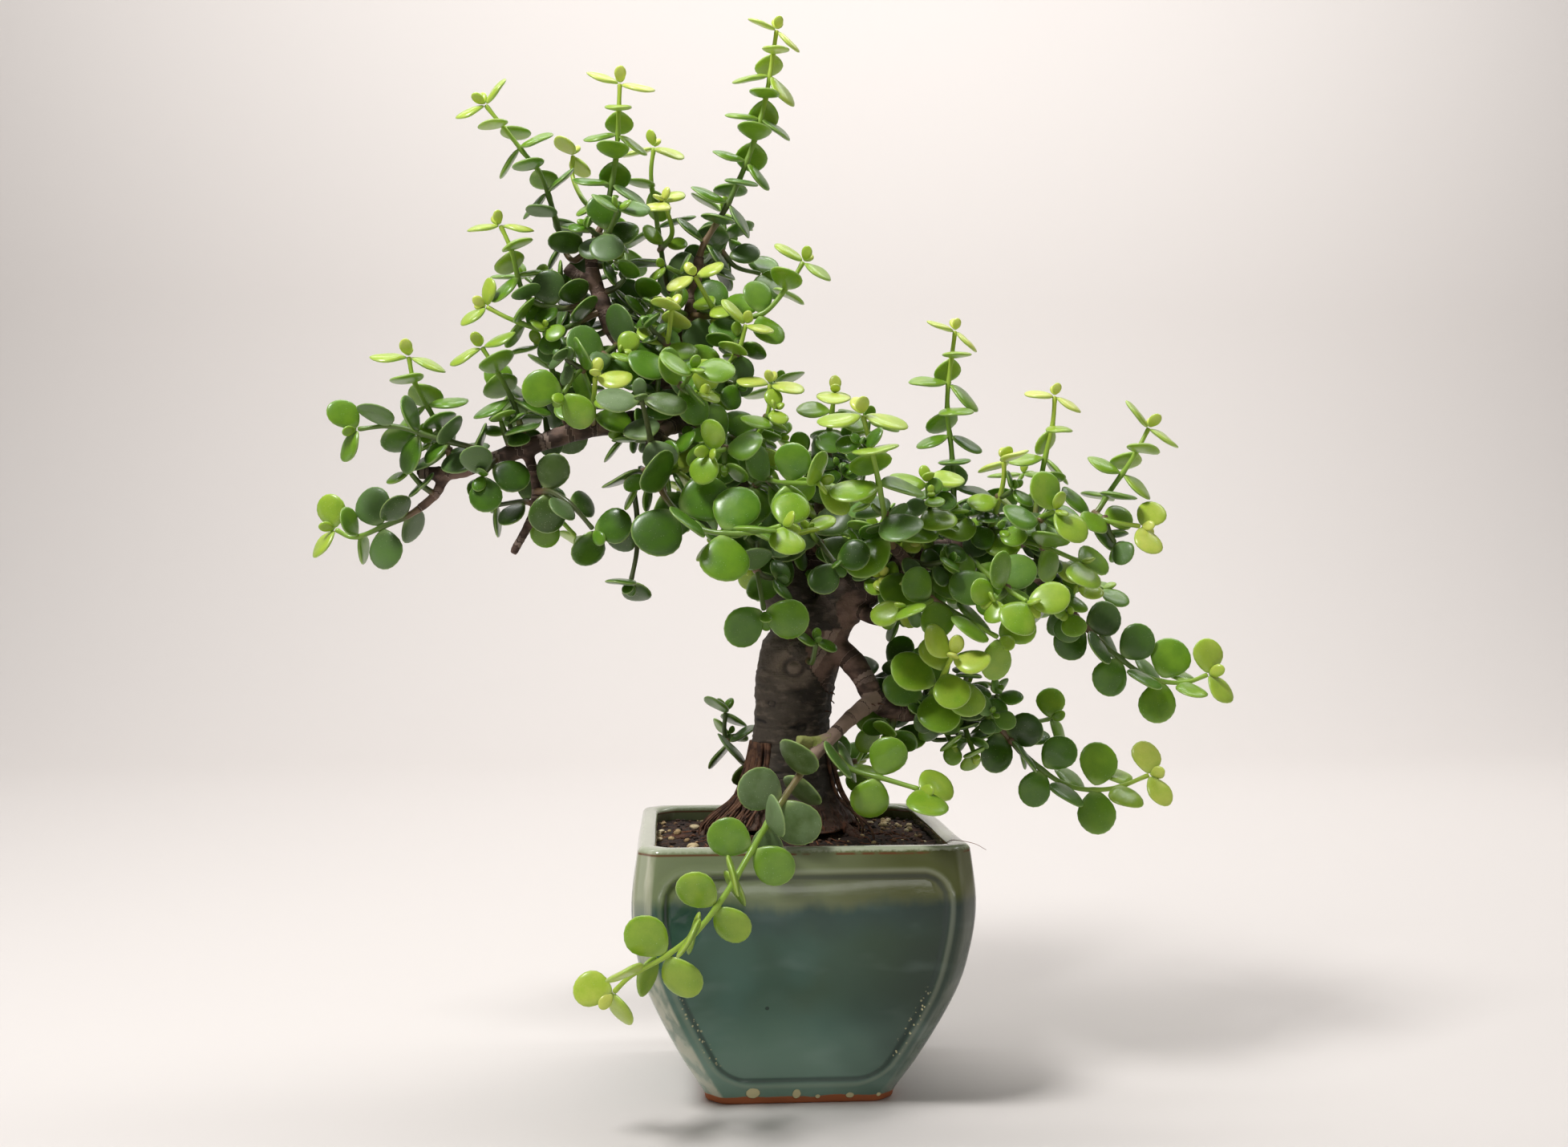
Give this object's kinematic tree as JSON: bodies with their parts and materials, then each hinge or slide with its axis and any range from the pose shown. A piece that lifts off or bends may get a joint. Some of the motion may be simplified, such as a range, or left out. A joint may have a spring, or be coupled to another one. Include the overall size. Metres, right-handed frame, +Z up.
{
  "type": "potted mini jade plant",
  "caption": "Small bonsai-like jade plant with a thick woody trunk and round fleshy leaves, in a square glazed pot.",
  "frame": {"origin": "middle of the pot's flat underside, on the surface it stands on", "axes": "+Z up; the pot's four sides face +X, -X, +Y and -Y; the front, with the hanging shoot, faces -Y"},
  "size_m": [0.3314, 0.1689, 0.3835],
  "materials": {
    "pot_glaze": "gloss",
    "screen_plastic": "matte",
    "potting_soil": "matte",
    "bark": "matte",
    "leaf": "satin"
  },
  "bodies": {
    "root": {"pot": "pot_glaze", "drain_screen": "screen_plastic", "soil": "potting_soil", "trunk": "bark", "shoot_leaderRight": "leaf", "shoot_leaderMiddle": "leaf", "shoot_leaderLeft": "leaf", "shoot_crownLeft": "leaf", "shoot_crownFrontTip": "leaf", "shoot_crownEast": "leaf", "shoot_crownEastLow": "leaf", "shoot_crownBackMid": "leaf", "shoot_crownWest": "leaf", "shoot_crownWestBack": "leaf", "shoot_crownBackRight": "leaf", "shoot_crownFront": "leaf", "shoot_crownFrontWest": "leaf", "shoot_crownBack": "leaf", "shoot_westUpper": "leaf", "shoot_westTip": "leaf", "shoot_westFar": "leaf", "shoot_westLow": "leaf", "shoot_westFront": "leaf", "shoot_westDownFront": "leaf", "shoot_westDownLeft": "leaf", "shoot_westDownBack": "leaf", "shoot_westInner": "leaf", "shoot_westInnerFront": "leaf", "shoot_frontHook": "leaf", "shoot_frontSweep": "leaf", "shoot_frontGrey": "leaf", "shoot_midUp": "leaf", "shoot_midRight": "leaf", "shoot_midFront": "leaf", "shoot_midDrop": "leaf", "shoot_midLow": "leaf", "shoot_midBack": "leaf", "shoot_trunkSprig": "leaf", "shoot_eastLeader": "leaf", "shoot_eastSecond": "leaf", "shoot_eastFar": "leaf", "shoot_eastTips": "leaf", "shoot_eastFront": "leaf", "shoot_eastFrontUp": "leaf", "shoot_eastFrontLow": "leaf", "shoot_eastInner": "leaf", "shoot_eastDropFront": "leaf", "shoot_eastDrop": "leaf", "shoot_backCenter": "leaf", "shoot_backEast": "leaf", "shoot_backEastLow": "leaf", "shoot_lowBack": "leaf", "shoot_lowInner": "leaf", "shoot_lowFront": "leaf", "shoot_lowMid": "leaf", "shoot_lowEast": "leaf", "shoot_trunkLeft": "leaf", "shoot_trunkBack": "leaf", "shoot_hangSide": "leaf", "shoot_hangFront": "leaf"}
  },
  "joints": []
}
